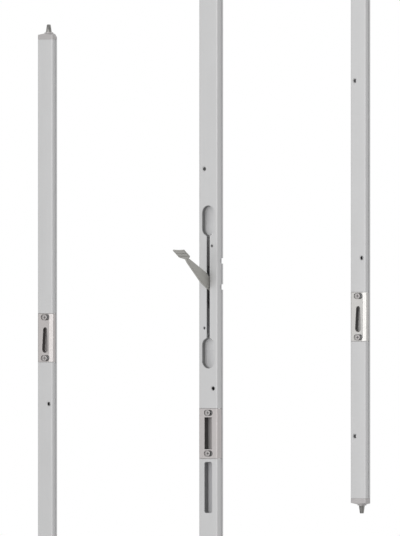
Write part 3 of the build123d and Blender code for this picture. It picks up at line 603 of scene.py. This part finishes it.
def rounded(node, radius):
    """A copy of the node with rounded edges, which rides on its body and takes its place."""
    work = bmesh.new()
    work.from_mesh(frame["nodes"][node].data)
    bmesh.ops.remove_doubles(work, verts=work.verts, dist=same_point)
    bmesh.ops.dissolve_limit(work, angle_limit=flat_turn, verts=work.verts, edges=work.edges)
    points = [tuple(v.co) for v in work.verts]
    work.verts.index_update()
    faces = [[v.index for v in f.verts] for f in work.faces]
    work.free()
    mesh = bpy.data.meshes.new(node + "_rounded")
    mesh.from_pydata(points, [], faces)
    mesh.shade_smooth()
    mesh.set_sharp_from_angle(angle=crease_turn if node in creased else sharp_turn)
    mesh.materials.append(own_finishes.get(node, finishes[slot_of(node)]))
    piece = put_in_scene(node + "_rounded", mesh)
    bevel = piece.modifiers.new("rounded edges", "BEVEL")
    bevel.width = radius
    bevel.segments = steps_in_a_round
    bevel.limit_method = "ANGLE"
    bevel.angle_limit = sharp_turn
    bevel.use_clamp_overlap = False
    bevel.harden_normals = True
    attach(piece, body_of(node))
    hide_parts(node)
    return piece


print(len(creased), "pieces keep a crease beside their faces")

# %% [markdown]
# A cast or moulded piece has a larger round than a bent one, and a pressed cup
# or a small screw has hardly any. All the rounds are small enough for every
# piece to stay inside its CAD box, and for the lever to pass by the cups.

# %% The edges of the pieces that show
edge_rounds = {                  # in millimetres
    "rail_centre": 0.12, "rail_top": 0.12, "rail_bottom": 0.12,
    "lever": 0.2, "latch_keeper": 0.2, "top_hook_keeper": 0.2, "bottom_hook_keeper": 0.2,
    "top_end_guide": 0.2, "bottom_end_guide": 0.2,
    "upper_finger_cup": 0.06, "lower_finger_cup": 0.06,
    "top_shoot_bolt": 0.2, "bottom_shoot_bolt": 0.2,
    "latch_keeper_screws": 0.06, "top_hook_keeper_screws": 0.06,
    "bottom_hook_keeper_screws": 0.06,
    "rod_upper": 0.15, "rod_lower": 0.15, "rod_top": 0.15, "rod_bottom": 0.15,
    "centre_rod_guides": 0.2, "top_rod_guides": 0.2, "bottom_rod_guides": 0.2,
    "latch_keeper_seat": 0.15, "top_hook_keeper_seat": 0.15, "bottom_hook_keeper_seat": 0.15,
    "gear_case_left": 0.12, "gear_case_right": 0.12, "deadbolt_box": 0.2,
}
for node, radius in edge_rounds.items():
    piece = rounded(node, radius * mm)
    print(node, len(piece.data.polygons), "faces before rounding")

# %% [markdown]
# Two hollow rivets beside the lever slot hold the gear case. A hollow rivet is
# rolled over by its punch: a small domed ring round a dark bore. A ring of
# points that is turned about the rivet's own axis gives that shape, as a lathe
# would, and only the profile has to be drawn.

# %% The profile of a hollow rivet
rivet_profile = [                # out from the axis and in from the face, in millimetres
    (0.02, 1.9), (0.55, 1.9), (0.72, 1.7), (0.74, 0.5), (0.82, 0.12), (0.95, -0.08),
    (1.12, -0.14), (1.3, -0.1), (1.44, 0.02), (1.5, 0.2), (1.5, 2.2),
]
rivet_sides = 40


def turned_about(profile, x, z, sides):
    """The points and faces of a profile that is turned about the axis into the door at x, z."""
    points, faces = [], []
    for out, deep in profile:
        for i in range(sides):
            angle = 2 * pi * i / sides
            points.append((x + out * mm * cos(angle), deep * mm, z + out * mm * sin(angle)))
    for ring in range(len(profile) - 1):
        for i in range(sides):
            here, there = ring * sides + i, ring * sides + (i + 1) % sides
            faces.append((here, there, there + sides, here + sides))
    faces.append(tuple(range(sides)))
    return points, faces


print(len(rivet_profile), "points in the rivet's profile, turned in", rivet_sides, "steps")

# %% [markdown]
# The rivets stand on both sides of the slot, one above the lever and one below
# it, so that the case can't twist. Both go into one mesh, because one CAD node
# stands for both.

# %% Both rivets in one mesh
rivet_across, rivet_level = 4.85 * mm, 42.65 * mm
rivet_points, rivet_faces = [], []
for x, z in ((rivet_across, rivet_level), (-rivet_across, -rivet_level)):
    points, faces = turned_about(rivet_profile, x, z, rivet_sides)
    start = len(rivet_points)
    rivet_points += points
    rivet_faces += [tuple(start + i for i in face) for face in faces]
rivet_mesh = bpy.data.meshes.new("hollow_rivets")
rivet_mesh.from_pydata(rivet_points, [], rivet_faces)
rivet_mesh.shade_smooth()
rivets = put_in_scene("hollow_rivets", rivet_mesh)
print("hollow rivets:", len(rivet_faces), "faces")

# %% [markdown]
# The rivets are plain steel, greyer than the rail round them, and hardly any
# light gets down their bores. The same measure of depth that darkens the
# screws' crosses darkens the bores.

# %% The rivets' finish
def rivet_metal():
    """Turned steel, darker down the bore."""
    finish = Finish("rolled rivet", (0.27, 0.27, 0.275), metallic=0.6, roughness=0.4)
    head_ends, bore_full = 0.1 * mm, 0.6 * mm
    _, deep, _ = finish.axes()
    skin = finish.noise(0.25 * mm, detail=3.0)
    head = finish.tinted(skin, dark=0.75, light=1.25)
    bore = deep.between(head_ends, bore_full)
    finish.paint("Base Color", finish.mixed(bore, head, (0.15, 0.15, 0.15, 1)))
    finish.paint("Roughness", finish.roughness - 0.12 + 0.16 * skin)
    finish.relief(skin, depth=0.015 * mm)
    return finish.material


rivet_mesh.materials.append(rivet_metal())
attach(rivets, "root")
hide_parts("face_rivets")
print("rivets in", rivet_mesh.materials[0].name, "for slot", slot_of("face_rivets"))

# %% [markdown]
# The gears, racks, pins and screws inside the channels hardly show, and the
# drawing's own meshes are good enough for them. They keep those meshes and
# only get a finish, which is set on the object and not on the mesh, so that
# the packed mesh stays as it is.

# %% Finishes of the pieces that stay as the CAD made them
kept = [node for node in frame["nodes"] if node not in edge_rounds and node != "face_rivets"]
for node in kept:
    piece = frame["nodes"][node]
    if not piece.data.materials:
        piece.data.materials.append(None)
    for holder in piece.material_slots:
        holder.link = "OBJECT"
        holder.material = finishes[slot_of(node)]
print(len(kept), "pieces keep their CAD mesh")

# %% [markdown]
# A product studio is a white room. The world is white wherever the camera, a
# reflection or a look through glass meets it, and otherwise gives a plain even
# light. That light is below 1, because the lamps add theirs to it, and the
# metal is to come out about as bright as its colour is written.

# %% The white room
plain_light = 0.7


def studio_world():
    """White to look at, and a plain even light on everything."""
    world = bpy.data.worlds.new("studio")
    bpy.context.scene.world = world
    room = Nodes(world)
    rays = room.add("ShaderNodeLightPath").outputs
    white_rays = ("Is Camera Ray", "Is Glossy Ray", "Is Transmission Ray")
    seen = sum((Wire(room, rays[kind]) for kind in white_rays), 0)
    plain = room.add("ShaderNodeBackground", {}, {"Color": (1, 1, 1, 1), "Strength": plain_light})
    white = room.add("ShaderNodeBackground", {}, {"Color": (1, 1, 1, 1), "Strength": 1.0})
    mix = room.add("ShaderNodeMixShader", {}, {0: seen, 1: plain.outputs[0], 2: white.outputs[0]})
    room.add("ShaderNodeOutputWorld", {}, {0: mix.outputs[0]})
    return world


print("world:", studio_world().name, "with a plain light of", plain_light)

# %% [markdown]
# Two soft lamps stand at the front. The large one adds the gentle run of light
# down the faces. The narrow upright strip a little further to the left is there
# for the rails' corners, where it draws the fine bright line that the photograph
# shows. Both face the point that the camera looks at.

# %% Lamps
def soft_lamp(name, round_degrees, distance, level, width, height, power):
    """A soft box that faces the lock, so many degrees round to its right."""
    data = bpy.data.lights.new(name, "AREA")
    data.shape = "RECTANGLE"
    data.size, data.size_y = width, height
    data.energy = power
    lamp = put_in_scene(name, data)
    turn = radians(round_degrees)
    lamp.location = (sin(turn) * distance, -cos(turn) * distance, level)
    lamp.rotation_euler = (target - lamp.location).to_track_quat("-Z", "Y").to_euler()
    print(name, "at", [round(v, 2) for v in lamp.location])


soft_lamp("key lamp", -2, distance=2.6, level=0.3, width=1.2, height=1.2, power=12.0)
soft_lamp("corner strip", -8, distance=3.0, level=0.0, width=0.3, height=1.5, power=7.0)

# %% [markdown]
# The lock stands over a pale floor, just under the rails' feet. The photograph
# is cut off above it, so the floor shows only from other angles. One large
# square is enough.

# %% Floor
floor_level = cad_low.z - 0.2 * mm
floor_half = 4.0
floor_corners = [(x * floor_half, y * floor_half, floor_level)
                 for x, y in ((-1, -1), (1, -1), (1, 1), (-1, 1))]
floor_mesh = bpy.data.meshes.new("floor")
floor_mesh.from_pydata(floor_corners, [], [(0, 1, 2, 3)])
floor_piece = put_in_scene("floor", floor_mesh)
print("floor", 2 * floor_half, "m wide, at", round(floor_level, 4), "m")

# %% [markdown]
# A white floor in a studio still looks grey where little light falls on it.
# Here a share of the floor glows, but only to the camera and in reflections:
# the floor then looks pale and sends no more light on the lock, and what
# doesn't glow keeps the lock's shadow.

# %% The floor's finish
def studio_floor():
    """Nearly white to the camera and in reflections, and it keeps the shadow."""
    glowing_share = 0.6
    finish = Finish("studio floor", (0.85, 0.85, 0.85), metallic=0.0, roughness=0.9)
    rays = finish.add("ShaderNodeLightPath").outputs
    seen = Wire(finish, rays["Is Camera Ray"]) + Wire(finish, rays["Is Glossy Ray"])
    glow = finish.add("ShaderNodeEmission", {}, {"Color": (1, 1, 1, 1), "Strength": 1.0})
    mix = finish.add("ShaderNodeMixShader", {}, {
        0: glowing_share * seen, 1: finish.shader.outputs[0], 2: glow.outputs[0]})
    finish.feed(finish.output.inputs["Surface"], mix.outputs[0])
    return finish.material


floor_mesh.materials.append(studio_floor())
print("finish of the floor:", floor_mesh.materials[0].name)

# %% [markdown]
# The finishes and rounds must not make the lock any larger. The box of the CAD
# model is kept from the start.

# %% [markdown]
